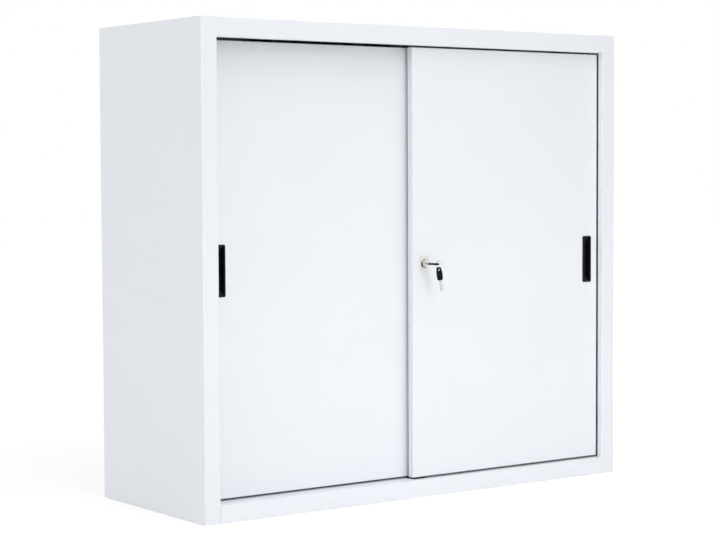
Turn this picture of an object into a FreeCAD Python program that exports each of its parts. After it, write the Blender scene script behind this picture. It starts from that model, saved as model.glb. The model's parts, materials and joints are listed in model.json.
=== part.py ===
import FreeCAD, Part
import math
import os

# A free-standing steel cabinet with two top-hung sliding doors, two flush pulls and a push-in lock.
# Sizes are in millimetres. X runs to the right across the front, Y from front to back, Z up.
# The origin lies on the floor under the middle of the cabinet.

Vector = FreeCAD.Vector

# Carcass, folded from steel sheet
cabinet_width = 1200.0
cabinet_depth = 450.0
cabinet_height = 1090.0
carcass_sheet = 1.0
bend_radius = 1.0          # inside radius of a fold
jamb_width = 40.0          # front face of each side
jamb_return = 15.0         # how far the jamb folds back beside the doors
jamb_lip = 14.0            # last fold, behind the jamb
rear_flange = 20.0
top_rail_height = 43.0
rail_lip = 12.0
rail_seam = 0.25           # joint line between a rail and the jambs
top_side_flange = 15.0
base_height = 40.0         # floor pan above the ground
base_return = 14.0
floor_rib_width = 60.0     # hat section under the floor pan
floor_rib_foot = 15.0
return_clearance = 2.0
panel_clearance = 0.3

# Shelves on perforated strips
strip_width = 20.0
strip_depth = 8.0
strip_sheet = 1.2
strip_end_gap = 20.0       # strip to floor pan and to top panel
strip_setback = 35.0       # behind the shelf's front edge and before its rear edge
slot_height = 12.0
slot_width = 4.0
slot_pitch = 100.0
shelf_sheet = 0.8
shelf_edge = 25.0
shelf_return = 12.0
shelf_side_gap = 1.0
shelf_rear_gap = 2.0
shelf_door_gap = 15.0
lower_shelf_slot_number = 3
upper_shelf_slot_number = 6
clip_sheet = 1.5
clip_width = 14.0
clip_leaf = 16.0
clip_tongue = 13.0
clip_hook_width = 3.0
clip_hook_drop = 3.0

# Doors: a folded front pan, a flat liner behind it and a stiffener between the two
door_recess = 17.5         # front door's face behind the jamb's face
door_pitch = 28.0          # rear door's face behind the front door's face
door_thickness = 17.0
door_skin = 1.0
liner_sheet = 0.8
door_edge_radius = 1.5
door_top_gap = 3.5
door_bottom_gap = 4.5
front_door_side_gap = 2.5  # closed front door to its jamb
rear_door_tuck = 3.5       # how far the closed rear door runs behind its jamb
front_door_lap = 22.0      # front door's inner edge past the cabinet's centre
rear_door_lap = 26.5
stiffener_width = 50.0
stiffener_foot = 14.0
stiffener_end_gap = 3.0

# Running gear: grooved wheels on a folded rail, two to a door
rail_sheet = 2.0
rail_drop = 33.0           # top panel to the rail's underside
rail_rib = 5.5             # running edge above the rail's shelf
rail_web = 18.0
rail_end_gap = 5.0
wheel_offset = 9.5         # wheel's middle behind the door's face
wheel_radius = 12.0
wheel_width = 8.0
groove_depth = 3.0
groove_clearance = 0.5
groove_flare = 1.0
wheel_sides = 24
running_gap = 0.3
axle_radius = 3.0
axle_clearance = 0.05
axle_flats = 9.0
axle_head = 0.8
wheel_side_gap = 0.3
hanger_sheet = 2.0
hanger_inset = 60.0        # wheel from the end of its door
hanger_width = 56.0
hanger_depth = 42.0        # part of the hanger inside the door
hanger_lug_radius = 13.0
hanger_shoulder = 4.0
hanger_slot_clearance = 0.2
stud_radius = 2.5
stud_sides = 8
stud_end = 1.0             # stud past its nut
stud_spacing = 32.0
stud_depth = 22.0          # studs below the door's top
stud_slot_travel = 3.0
nut_across_flats = 8.0
nut_height = 4.0
stud_clearance = 0.3
stop_length = 12.0
stop_height = 19.0
stop_wall = 3.0

# Guide block on the floor pan, running in a channel along each door's bottom edge
channel_sheet = 1.2
channel_slot = 5.4
channel_depth = 12.0
channel_foot = 2.2
channel_end_gap = 0.3
guide_fin_clearance = 0.5
guide_fin_length = 30.0
guide_fin_height = 12.5
guide_plate = 2.0
guide_length = 40.0
guide_margin = 4.0

# Flush pulls
pull_width = 28.0
pull_height = 114.5
pull_corner = 4.0
pull_rim = 1.2             # rim's thickness on the door's face
pull_rim_width = 2.0       # rim past the cut-out
pull_depth = 14.0          # shell's depth inside the door
pull_wall = 1.6
pull_ledge = 6.0           # shallow step beside the finger space
pull_step = 2.2
pull_ramp = 10.0           # sloped end of the finger space
pull_draft = 1.5
pull_fit = 0.1
pull_margin = 19.9         # rim to the door's outer edge
front_pull_height = 537.5
rear_pull_height = 544.0
pull_reach = 13.5          # room left beside the rear pull when a door is open

# Push-in lock on the front door
lock_inset = 33.6          # lock's axis from the front door's inner edge
lock_height = 543.5
plate_width = 28.0
plate_height = 37.5
plate_corner = 8.0
plate_thickness = 2.5
collar_radius = 13.0
collar_thickness = 1.4
collar_mouth = 2.1         # open ring round the barrel
collar_mouth_depth = 3.0
body_flats = 22.6
body_sides = 16
body_end_gap = 3.5         # lock's rear end to the rear door's face
body_end_wall = 2.0
body_fit = 0.1
lock_nut_flats = 27.0
lock_nut_height = 5.0
barrel_radius = 9.0
barrel_reach = 13.0        # barrel's face before the door's face when unlocked
barrel_push = 8.0
barrel_end_gap = 1.0
barrel_edge = 0.8
sliding_clearance = 0.05
bolt_radius = 4.0
bolt_end_gap = 2.0         # retracted bolt to the rear door's face
plug_radius = 5.5
plug_reach = 0.5
plug_end_wall = 2.0
bush_flats = 10.6
bush_flange = 14.0
bush_flange_thickness = 0.8
bush_sides = 16
bush_depth = 4.0
bush_bore_clearance = 0.5

# Keys
blade_width = 7.2
blade_thickness = 2.0
blade_length = 26.0
blade_root = 6.0           # part of the blade inside the bow
keyway_clearance = 0.2
blade_tip = 2.0
blade_cuts = [1.1, 0.6, 1.3, 0.8]
blade_cut_pitch = 4.2
bow_length = 30.5
bow_blade_end = 12.0       # widths at its blade end, at its widest and at its ring end
bow_width = 14.8
bow_ring_end = 9.8
bow_widest = 12.0          # widest place from the blade end
bow_thickness = 3.8
bow_corner = 3.0
bow_hole_radius = 2.6
bow_hole_inset = 6.0
bow_gap = 8.0              # barrel's face to the inserted key's bow
ring_radius = 9.4
ring_wire = 1.2
ring_runs = 24
ring_out = 9.7             # ring's middle outward from the key's hole
ring_drop = 1.7            # ring's middle below the key's hole
key_clearance = 0.3
spare_key_lean = 9.5       # degrees

bore_sides = 16            # flats of the small bores

# Planes and edges that several pieces share
front_y = -cabinet_depth / 2
rear_y = cabinet_depth / 2
half_width = cabinet_width / 2
opening_half = half_width - jamb_width
top_underside = cabinet_height - carcass_sheet
top_rail_z = cabinet_height - top_rail_height
pan_rear_y = rear_y - 2 * carcass_sheet
side_inner_x = half_width - carcass_sheet
front_door_y = front_y + door_recess
rear_door_y = front_door_y + door_pitch
door_bottom = base_height + door_bottom_gap
door_top = top_rail_z - door_top_gap
front_door_x = (-front_door_lap, opening_half - front_door_side_gap)
rear_door_x = (-opening_half - rear_door_tuck, rear_door_lap)
rail_underside = top_underside - rail_drop
rail_edge_z = rail_underside + rail_sheet + rail_rib
axle_z = rail_edge_z + running_gap + wheel_radius - groove_depth
lock_x = front_door_x[0] + lock_inset
front_pull_x = front_door_x[1] - pull_margin - pull_width / 2
rear_pull_x = rear_door_x[0] + pull_margin + pull_width / 2
door_travel = front_door_x[0] - pull_reach - (rear_pull_x + pull_width / 2)
shelf_front_y = rear_door_y + door_thickness + shelf_door_gap
shelf_rear_y = pan_rear_y - shelf_rear_gap
shelf_half = side_inner_x - strip_depth - clip_sheet - shelf_side_gap
front_strip_y = shelf_front_y + strip_setback
rear_strip_y = shelf_rear_y - strip_setback
first_slot_z = base_height + strip_end_gap + slot_pitch / 2


def plan(u, v):
    return Vector(u, v, 0)


def section(u, v):
    return Vector(0, u, v)


def elevation(u, v):
    return Vector(u, 0, v)


def direction(a, b):
    length = math.hypot(b[0] - a[0], b[1] - a[1])
    return ((b[0] - a[0]) / length, (b[1] - a[1]) / length)


def offset_line(points, distance):
    # The line that runs beside an open line, on its left
    runs = [direction(a, b) for a, b in zip(points, points[1:])]
    befores = [runs[0]] + runs
    afters = runs + [runs[-1]]
    shifted = []
    for point, before, after in zip(points, befores, afters):
        share = distance / (1 + before[0] * after[0] + before[1] * after[1])
        shifted.append((
            point[0] - (before[1] + after[1]) * share,
            point[1] + (before[0] + after[0]) * share,
        ))
    return shifted


def bent_line(points, radii, plane):
    # Straight runs joined by tangent arcs, with one radius for each inner point and none for a sharp one
    edges = []
    start = points[0]
    for before_point, corner, after_point, radius in zip(points, points[1:], points[2:], radii):
        if radius == 0:
            edges.append(Part.makeLine(plane(*start), plane(*corner)))
            start = corner
            continue
        before = direction(before_point, corner)
        after = direction(corner, after_point)
        half_turn = math.acos(before[0] * after[0] + before[1] * after[1]) / 2
        reach = radius * math.tan(half_turn)
        inward = direction(before, after)
        rise = radius / math.cos(half_turn) - radius
        enter = (corner[0] - before[0] * reach, corner[1] - before[1] * reach)
        leave = (corner[0] + after[0] * reach, corner[1] + after[1] * reach)
        middle = (corner[0] + inward[0] * rise, corner[1] + inward[1] * rise)
        edges.append(Part.makeLine(plane(*start), plane(*enter)))
        edges.append(Part.Arc(plane(*enter), plane(*middle), plane(*leave)).toShape())
        start = leave
    edges.append(Part.makeLine(plane(*start), plane(*points[-1])))
    return edges


def folded_sheet(points, thickness, plane, length, bends=None):
    # A sheet folded along an open line, with its metal on the line's left, drawn out along length.
    # bends gives each fold's inside radius; without it the folds are sharp.
    line_radii = []
    beside_radii = []
    for a, b, c, bend in zip(points, points[1:], points[2:], bends or [0] * (len(points) - 2)):
        before, after = direction(a, b), direction(b, c)
        turns_left = before[0] * after[1] - before[1] * after[0] > 0
        outer = bend + thickness if bend else 0
        line_radii.append(outer if turns_left else bend)
        beside_radii.append(bend if turns_left else outer)
    beside = offset_line(points, thickness)
    edges = bent_line(points, line_radii, plane) + bent_line(beside, beside_radii, plane)
    edges.append(Part.makeLine(plane(*points[0]), plane(*beside[0])))
    edges.append(Part.makeLine(plane(*points[-1]), plane(*beside[-1])))
    return Part.Face(Part.Wire(Part.__sortEdges__(edges))).extrude(length)


def prism(points, plane, length):
    corners = [plane(*p) for p in points]
    return Part.Face(Part.makePolygon(corners + corners[:1])).extrude(length)


def block(x, y, z):
    # A box between two values on each axis
    return Part.makeBox(x[1] - x[0], y[1] - y[0], z[1] - z[0], Vector(x[0], y[0], z[0]))


def rod(x, z, y, radius):
    # A cylinder from front to back
    return Part.makeCylinder(radius, y[1] - y[0], Vector(x, y[0], z), Vector(0, 1, 0))


def rounded_wire(x, y, z, width, height, corner):
    # An upright rounded rectangle facing the front
    half_w, half_h = width / 2, height / 2
    corners = [
        (x, z - half_h), (x + half_w, z - half_h), (x + half_w, z + half_h),
        (x - half_w, z + half_h), (x - half_w, z - half_h), (x, z - half_h),
    ]
    wire = Part.Wire(bent_line(corners, [corner] * 4, elevation))
    wire.translate(Vector(0, y, 0))
    return wire


def upright_rectangle(x, y, z):
    return [Vector(x[0], y, z[0]), Vector(x[1], y, z[0]), Vector(x[1], y, z[1]), Vector(x[0], y, z[1])]


def rounded_slab(x, z, y, width, height, corner):
    face = Part.Face(rounded_wire(x, y[0], z, width, height, corner))
    return face.extrude(Vector(0, y[1] - y[0], 0))


def regular_corners(x, y, z, reach, sides):
    # Corners of a regular polygon that faces the front
    turn = 2 * math.pi / sides
    return [Vector(x + reach * math.cos(turn * n), y, z + reach * math.sin(turn * n)) for n in range(sides)]


def flat_sided_bar(x, z, y, across_flats, sides):
    # A bar from front to back whose section is a regular polygon
    reach = across_flats / 2 / math.cos(math.pi / sides)
    return flat_sided_body([regular_corners(x, depth, z, reach, sides) for depth in y])


def flat_sided_body(outlines):
    # Solid with flat sides between outlines that have the same number of corners
    faces = [Part.Face(Part.makePolygon(corners + corners[:1])) for corners in (outlines[0], outlines[-1])]
    for near, far in zip(outlines, outlines[1:]):
        for n in range(len(near)):
            side = [near[n - 1], near[n], far[n], far[n - 1]]
            faces.append(Part.Face(Part.makePolygon(side + side[:1])))
    shell = Part.makeShell(faces)
    shell.sewShape()
    return Part.makeSolid(shell)


def mirrored(shape):
    return shape.mirror(Vector(0, 0, 0), Vector(1, 0, 0))


def joined(first, *others):
    return first.multiFuse(list(others)).removeSplitter()


def edges_at(shape, x=None, y=None, z=None):
    # The edges whose middle lies at the values given
    found = []
    for edge in shape.Edges:
        middle = edge.CenterOfMass
        pairs = ((middle.x, x), (middle.y, y), (middle.z, z))
        if all(value is None or abs(place - value) < 0.01 for place, value in pairs):
            found.append(edge)
    return found


def side_panel():
    # Left side: rear flange, side, jamb face, return and lip in one fold
    path = [
        (-half_width + rear_flange, rear_y),
        (-half_width, rear_y),
        (-half_width, front_y),
        (-opening_half, front_y),
        (-opening_half, front_y + jamb_return),
        (-opening_half - jamb_lip, front_y + jamb_return),
    ]
    bends = [bend_radius, bend_radius, bend_radius, 0]
    return folded_sheet(path, carcass_sheet, plan, Vector(0, 0, top_underside), bends)


def across_opening(path, bends):
    # A folded piece that fills the width between the jambs
    reach = opening_half - rail_seam
    piece = folded_sheet(path, carcass_sheet, section, Vector(2 * reach, 0, 0), bends)
    piece.translate(Vector(-reach, 0, 0))
    return piece


def top_panel():
    # Skin over both sides, with the front rail and the rear flange folded down
    rail_rear_y = front_y + jamb_return
    middle = across_opening([
        (rear_y, cabinet_height - rear_flange),
        (rear_y, cabinet_height),
        (front_y, cabinet_height),
        (front_y, top_rail_z),
        (rail_rear_y, top_rail_z),
        (rail_rear_y, top_rail_z + rail_lip),
    ], [bend_radius, bend_radius, bend_radius, 0])
    end_x = (opening_half - rail_seam, half_width)
    end = block(end_x, (front_y, rear_y), (top_underside, cabinet_height))
    outer_corners = edges_at(end, x=half_width, z=top_underside + carcass_sheet / 2)
    end = end.makeFillet(bend_radius + carcass_sheet, outer_corners)
    flange_y = (rail_rear_y + return_clearance, pan_rear_y - return_clearance)
    flange_x = (side_inner_x - carcass_sheet, side_inner_x)
    flange = block(flange_x, flange_y, (top_underside - top_side_flange, top_underside))
    side = joined(end, flange)
    return joined(middle, side, mirrored(side))


def base_panel():
    # Floor pan with the bottom rail, standing on its folded returns
    rear_part = [
        (pan_rear_y - base_return, 0),
        (pan_rear_y, 0),
        (pan_rear_y, base_height),
    ]
    front_part = [(front_y, base_height), (front_y, 0), (front_y + base_return, 0)]
    middle = across_opening(rear_part + front_part, [0, 0, bend_radius, bend_radius])
    start_x = opening_half - rail_seam
    side_path = rear_part + [(front_y + jamb_return, base_height)]
    side_run = Vector(side_inner_x - start_x, 0, 0)
    side = folded_sheet(side_path, carcass_sheet, section, side_run)
    side.translate(Vector(start_x, 0, 0))
    return joined(middle, side, mirrored(side))


def back_panel():
    reach = side_inner_x - bend_radius - panel_clearance
    y = (pan_rear_y, rear_y - carcass_sheet)
    return block((-reach, reach), y, (0, top_underside - bend_radius - panel_clearance))


def floor_rib():
    # Hat section from front to back under the floor pan, level with the ground
    crown = floor_rib_width / 2 - carcass_sheet
    foot = crown + floor_rib_foot
    underside = base_height - carcass_sheet
    path = [
        (foot, underside), (crown, underside), (crown, carcass_sheet),
        (-crown, carcass_sheet), (-crown, underside), (-foot, underside),
    ]
    start_y = front_y + base_return + return_clearance
    end_y = pan_rear_y - base_return - return_clearance
    rib = folded_sheet(path, carcass_sheet, elevation, Vector(0, end_y - start_y, 0))
    rib.translate(Vector(0, start_y, 0))
    return rib


def door_rail(door_y):
    # J-shaped rail under the top panel, whose upturned edge carries the wheels
    edge_y = door_y + wheel_offset - rail_sheet / 2
    leg_y = door_y + door_thickness + rail_sheet / 4
    web_z = top_underside - rail_sheet
    path = [
        (edge_y, rail_edge_z),
        (edge_y, rail_underside),
        (leg_y, rail_underside),
        (leg_y, web_z),
        (leg_y + rail_web, web_z),
    ]
    reach = opening_half - rail_end_gap
    rail = folded_sheet(path, rail_sheet, section, Vector(2 * reach, 0, 0))
    rail.translate(Vector(-reach, 0, 0))
    return rail


def track_stop(x, door_y):
    # Buffer block astride the rail's running edge
    middle_y = door_y + wheel_offset
    half = rail_sheet / 2 + stop_wall
    z = (rail_underside + rail_sheet, rail_underside + rail_sheet + stop_height)
    body = block((x, x + stop_length), (middle_y - half, middle_y + half), z)
    edge_y = (middle_y - rail_sheet / 2, middle_y + rail_sheet / 2)
    return body.cut(block((x, x + stop_length), edge_y, (z[0], rail_edge_z)))


def track_stops():
    # For each door one stop where it is closed and one where it is fully open
    reach = wheel_radius + running_gap
    front_outer = front_door_x[1] - hanger_inset
    front_inner = front_door_x[0] + hanger_inset
    rear_outer = rear_door_x[0] + hanger_inset
    rear_inner = rear_door_x[1] - hanger_inset
    return Part.makeCompound([
        track_stop(front_outer + reach, front_door_y),
        track_stop(front_inner - door_travel - reach - stop_length, front_door_y),
        track_stop(rear_outer - reach - stop_length, rear_door_y),
        track_stop(rear_inner + door_travel + reach, rear_door_y),
    ])


def shelf_strip(middle_y):
    # Left upright: a channel against the side, with a row of slots for the clips
    face_x = -side_inner_x + strip_depth
    low, high = middle_y - strip_width / 2, middle_y + strip_width / 2
    path = [(-side_inner_x, low), (face_x, low), (face_x, high), (-side_inner_x, high)]
    bottom = base_height + strip_end_gap
    height = top_underside - strip_end_gap - bottom
    strip = folded_sheet(path, strip_sheet, plan, Vector(0, 0, height))
    strip.translate(Vector(0, 0, bottom))
    slots = []
    for n in range(int((height - slot_pitch / 2 - slot_height) // slot_pitch) + 1):
        z = first_slot_z + n * slot_pitch
        slots.append(block((face_x - strip_sheet, face_x),
                           (middle_y - slot_width / 2, middle_y + slot_width / 2),
                           (z, z + slot_height)))
    return strip.cut(Part.makeCompound(slots))


def shelf_top(slot_number):
    return first_slot_z + slot_number * slot_pitch + slot_height + shelf_edge


def shelf(slot_number):
    # Tray with its four edges folded down and back under
    top = shelf_top(slot_number)
    bottom = top - shelf_edge
    outer = block((-shelf_half, shelf_half), (shelf_front_y, shelf_rear_y), (bottom, top))
    inner = block((-shelf_half + shelf_sheet, shelf_half - shelf_sheet),
                  (shelf_front_y + shelf_sheet, shelf_rear_y - shelf_sheet),
                  (bottom + shelf_sheet, top - shelf_sheet))
    mouth = block((-shelf_half + shelf_return, shelf_half - shelf_return),
                  (shelf_front_y + shelf_return, shelf_rear_y - shelf_return),
                  (bottom, bottom + shelf_sheet))
    tray = outer.cut(inner).cut(mouth)
    return tray.makeFillet(shelf_sheet * 1.5, edges_at(tray, x=0, y=shelf_front_y))


def shelf_clip(middle_y, slot_number):
    # Left clip: a hook through the slot, a leaf on the strip and a tongue under the shelf
    face_x = -side_inner_x + strip_depth
    top = shelf_top(slot_number) - shelf_edge
    y = (middle_y - clip_width / 2, middle_y + clip_width / 2)
    leaf = block((face_x, face_x + clip_sheet), y, (top - clip_leaf, top))
    tongue = block((face_x, face_x + clip_tongue), y, (top - clip_sheet, top))
    tip = edges_at(tongue, x=face_x + clip_tongue, z=top - clip_sheet / 2)
    tongue = tongue.makeChamfer(clip_sheet * 2, tip)
    hook_x = face_x - strip_sheet - clip_sheet
    hook_y = (middle_y - clip_hook_width / 2, middle_y + clip_hook_width / 2)
    neck_bottom = top - slot_height
    neck = block((hook_x, face_x), hook_y, (neck_bottom, top - clip_sheet))
    tail = block((hook_x, hook_x + clip_sheet), hook_y, (neck_bottom - clip_hook_drop, neck_bottom))
    return joined(leaf, tongue, neck, tail)


def shelf_clips():
    clips = [
        shelf_clip(y, n)
        for n in (lower_shelf_slot_number, upper_shelf_slot_number)
        for y in (front_strip_y, rear_strip_y)
    ]
    return Part.makeCompound(clips + [mirrored(clip) for clip in clips])


def floor_guide():
    # One plate with a fin in each door's bottom channel
    middle_x = (front_door_x[0] + rear_door_x[1]) / 2
    front_fin_y = front_door_y + wheel_offset
    rear_fin_y = rear_door_y + wheel_offset
    half_fin = channel_slot / 2 - guide_fin_clearance
    plate = block((middle_x - guide_length / 2, middle_x + guide_length / 2),
                  (front_fin_y - half_fin - guide_margin, rear_fin_y + half_fin + guide_margin),
                  (base_height, base_height + guide_plate))
    fins = []
    for y in (front_fin_y, rear_fin_y):
        fin = block((middle_x - guide_fin_length / 2, middle_x + guide_fin_length / 2),
                    (y - half_fin, y + half_fin),
                    (base_height, base_height + guide_fin_height))
        upright = edges_at(fin, z=base_height + guide_fin_height / 2)
        fins.append(fin.makeChamfer(half_fin * 0.6, upright))
    return joined(plate, *fins)


def wheel_places(door_x):
    return (door_x[0] + hanger_inset, door_x[1] - hanger_inset)


def stud_places(door_x):
    return [x + side * stud_spacing / 2 for x in wheel_places(door_x) for side in (-1, 1)]


def pull_cutout(x, z, y):
    half_w = pull_width / 2 - pull_rim_width + pull_fit
    half_h = pull_height / 2 - pull_rim_width + pull_fit
    return block((x - half_w, x + half_w), y, (z - half_h, z + half_h))


def door_panel(door_x, door_y, pull_x, pull_z):
    # Front skin with its four edges folded back, open at the rear
    y = (door_y, door_y + door_thickness)
    pan = block(door_x, y, (door_bottom, door_top))
    pan = pan.makeFillet(door_edge_radius, edges_at(pan, y=door_y))
    inner_x = (door_x[0] + door_skin, door_x[1] - door_skin)
    pan = pan.cut(block(inner_x, (door_y + door_skin, y[1]), (door_bottom + door_skin, door_top - door_skin)))
    groove_y = (door_y + wheel_offset - channel_slot / 2, door_y + wheel_offset + channel_slot / 2)
    cuts = [block(inner_x, groove_y, (door_bottom, door_bottom + door_skin))]
    for x in wheel_places(door_x):
        half = hanger_width / 2 + hanger_slot_clearance
        slot_y = (door_y + door_skin, door_y + door_skin + hanger_sheet + hanger_slot_clearance)
        cuts.append(block((x - half, x + half), slot_y, (door_top - door_skin, door_top)))
    cuts.append(pull_cutout(pull_x, pull_z, (door_y, door_y + door_skin)))
    pan = pan.cut(Part.makeCompound(cuts))
    stud_y = (door_y + door_skin, door_y + door_skin + hanger_sheet + nut_height + stud_end)
    stud_z = door_top - stud_depth
    studs = [flat_sided_bar(x, stud_z, stud_y, 2 * stud_radius, stud_sides) for x in stud_places(door_x)]
    return joined(pan, *studs)


def front_door_panel():
    hole = lock_sleeve((front_door_y, front_door_y + door_skin), body_fit)
    return door_panel(front_door_x, front_door_y, front_pull_x, front_pull_height).cut(hole)


def rear_door_panel():
    y = (rear_door_y, rear_door_y + door_skin)
    hole = flat_sided_bar(lock_x, lock_height, y, bush_flats, bush_sides)
    return door_panel(rear_door_x, rear_door_y, rear_pull_x, rear_pull_height).cut(hole)


def door_liner(door_x, door_y):
    # Flat sheet that closes the back of a door
    y = (door_y + door_thickness - liner_sheet, door_y + door_thickness)
    x = (door_x[0] + door_skin, door_x[1] - door_skin)
    return block(x, y, (door_bottom + door_skin, door_top - door_skin))


def front_door_liner():
    liner = door_liner(front_door_x, front_door_y)
    y = (front_door_y, front_door_y + door_thickness)
    return liner.cut(lock_sleeve(y, body_fit))


def door_stiffener(door_x, door_y):
    # Upright hat section between the skin and the liner
    middle = (door_x[0] + door_x[1]) / 2
    crown = stiffener_width / 2
    foot = crown + stiffener_foot
    near = door_y + door_skin
    far = door_y + door_thickness - liner_sheet
    path = [
        (middle - foot, near), (middle - crown, near), (middle - crown, far - liner_sheet),
        (middle + crown, far - liner_sheet), (middle + crown, near), (middle + foot, near),
    ]
    bottom = door_bottom + door_skin + channel_depth + stiffener_end_gap
    top = door_top - door_skin - stiffener_end_gap
    hat = folded_sheet(path, liner_sheet, plan, Vector(0, 0, top - bottom))
    hat.translate(Vector(0, 0, bottom))
    return hat


def bottom_channel(door_x, door_y):
    # Inverted channel that runs over the guide's fin
    middle = door_y + wheel_offset
    inner = channel_slot / 2
    foot = inner + channel_sheet + channel_foot
    low = door_bottom + door_skin
    high = low + channel_depth - channel_sheet
    path = [
        (middle - foot, low), (middle - inner, low), (middle - inner, high),
        (middle + inner, high), (middle + inner, low), (middle + foot, low),
    ]
    inset = door_skin + channel_end_gap
    length = Vector(door_x[1] - door_x[0] - 2 * inset, 0, 0)
    channel = folded_sheet(path, channel_sheet, section, length)
    channel.translate(Vector(door_x[0] + inset, 0, 0))
    return channel


def hanger(x, door_y):
    # Plate behind the door's skin, narrowing to a lug round the axle
    near = door_y + door_skin
    low = door_top - hanger_depth
    shoulder = door_top + hanger_shoulder
    half = hanger_width / 2
    outline = [
        (x - half, low), (x + half, low), (x + half, shoulder), (x + hanger_lug_radius, axle_z),
        (x - hanger_lug_radius, axle_z), (x - half, shoulder),
    ]
    plate = prism(outline, elevation, Vector(0, hanger_sheet, 0))
    plate.translate(Vector(0, near, 0))
    y = (near, near + hanger_sheet)
    plate = joined(plate, rod(x, axle_z, y, hanger_lug_radius))
    slot_half = stud_radius + stud_clearance
    slot_z = (door_top - stud_depth - slot_half - stud_slot_travel,
              door_top - stud_depth + slot_half + stud_slot_travel)
    for side in (-1, 1):
        stud_x = x + side * stud_spacing / 2
        plate = plate.cut(block((stud_x - slot_half, stud_x + slot_half), y, slot_z))
    return plate


def hangers(door_x, door_y):
    return Part.makeCompound([hanger(x, door_y) for x in wheel_places(door_x)])


def hanger_nuts(door_x, door_y):
    y0 = door_y + door_skin + hanger_sheet
    nuts = []
    for x in stud_places(door_x):
        place = (x, door_top - stud_depth, (y0, y0 + nut_height))
        nut = flat_sided_bar(*place, nut_across_flats, 6)
        nuts.append(nut.cut(flat_sided_bar(*place, 2 * stud_radius, stud_sides)))
    return Part.makeCompound(nuts)


def wheel_span(door_y):
    middle = door_y + wheel_offset
    return (middle - wheel_width / 2, middle + wheel_width / 2)


def axles(door_x, door_y):
    # Pins welded to the hangers, with a six-sided shoulder on each side of the wheel
    near = door_y + door_skin + hanger_sheet
    span = wheel_span(door_y)
    head_y = (span[1] + wheel_side_gap, span[1] + wheel_side_gap + axle_head)
    pins = []
    for x in wheel_places(door_x):
        shaft = rod(x, axle_z, (near, head_y[1]), axle_radius)
        collar = flat_sided_bar(x, axle_z, (near, span[0] - wheel_side_gap), axle_flats, 6)
        pins.append(joined(shaft, collar, flat_sided_bar(x, axle_z, head_y, axle_flats, 6)))
    return Part.makeCompound(pins)


def wheel(x, door_y):
    # Wheel with a flared groove, its rim and its bore drawn with flats
    half = wheel_width / 2
    floor = rail_sheet / 2 + groove_clearance
    front = [
        (wheel_radius, -half), (wheel_radius, -floor - groove_flare), (wheel_radius - groove_depth, -floor),
    ]
    middle = door_y + wheel_offset
    profile = front + [(radius, -offset) for radius, offset in reversed(front)]
    rings = [regular_corners(x, middle + offset, axle_z, radius, wheel_sides) for radius, offset in profile]
    bore = 2 * (axle_radius + axle_clearance)
    return flat_sided_body(rings).cut(flat_sided_bar(x, axle_z, wheel_span(door_y), bore, bore_sides))


def flush_pull(x, z, door_y):
    # Moulded shell: rim, shallow ledge on the left and a finger space with sloped ends
    rim = rounded_slab(x, z, (door_y - pull_rim, door_y), pull_width, pull_height, pull_corner)
    rim = rim.makeChamfer(pull_rim / 2, edges_at(rim, y=door_y - pull_rim))
    shell_width = pull_width - 2 * pull_rim_width
    shell_height = pull_height - 2 * pull_rim_width
    shell = block((x - shell_width / 2, x + shell_width / 2), (door_y, door_y + pull_depth),
                  (z - shell_height / 2, z + shell_height / 2))
    body = joined(rim, shell)
    mouth_width = shell_width - 2 * pull_wall
    mouth_height = shell_height - 2 * pull_wall
    corner = pull_corner / 2
    step = rounded_slab(x, z, (door_y - pull_rim, door_y + pull_step), mouth_width, mouth_height, corner)
    deep_x = (x - mouth_width / 2 + pull_ledge, x + mouth_width / 2)
    floor_x = (deep_x[0] + pull_draft, deep_x[1] - pull_draft)
    floor_y = door_y + pull_depth - pull_wall
    half_h = mouth_height / 2
    mouth = upright_rectangle(deep_x, door_y + pull_step, (z - half_h, z + half_h))
    floor = upright_rectangle(floor_x, floor_y, (z - half_h + pull_ramp, z + half_h - pull_ramp))
    return body.cut(step).cut(flat_sided_body([mouth, floor]))


def lock_sleeve(y, clearance=0):
    # The lock's flat-sided sleeve, or a hole for it
    return flat_sided_bar(lock_x, lock_height, y, body_flats + 2 * clearance, body_sides)


def lock_plate():
    y = (front_door_y - plate_thickness, front_door_y)
    plate = rounded_slab(lock_x, lock_height, y, plate_width, plate_height, plate_corner)
    plate = plate.makeChamfer(plate_thickness / 3, edges_at(plate, y=y[0]))
    return plate.cut(lock_sleeve(y, body_fit))


def lock_body():
    # Round front collar with a flared mouth on the sleeve, bored for the barrel, and a rear
    # wall that guides the bolt
    plate_front = front_door_y - plate_thickness
    face = plate_front - collar_thickness
    rear = rear_door_y - body_end_gap
    bore = barrel_radius + sliding_clearance
    collar = rod(lock_x, lock_height, (face, plate_front), collar_radius)
    body = joined(collar, lock_sleeve((plate_front, rear)))
    axis = Vector(0, 1, 0)
    mouth = Part.makeCone(bore + collar_mouth, bore, collar_mouth_depth,
                          Vector(lock_x, face, lock_height), axis)
    body = body.cut(mouth).cut(rod(lock_x, lock_height, (face, rear - body_end_wall), bore))
    guide = 2 * (bolt_radius + sliding_clearance)
    return body.cut(flat_sided_bar(lock_x, lock_height, (rear - body_end_wall, rear), guide, bore_sides))


def lock_nut():
    near = front_door_y + door_skin
    y = (near, near + lock_nut_height)
    nut = flat_sided_bar(lock_x, lock_height, y, lock_nut_flats, 6)
    return nut.cut(lock_sleeve(y))


def barrel_span():
    face = front_door_y - barrel_reach
    rear = rear_door_y - body_end_gap - body_end_wall - barrel_push - barrel_end_gap
    return (face, rear)


def lock_barrel():
    # Push-in barrel, bored for the plug
    face, rear = barrel_span()
    barrel = rod(lock_x, lock_height, (face, rear), barrel_radius)
    barrel = barrel.makeChamfer(barrel_edge, edges_at(barrel, y=face))
    bore_y = (face, rear - plug_end_wall)
    return barrel.cut(rod(lock_x, lock_height, bore_y, plug_radius + sliding_clearance))


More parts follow.
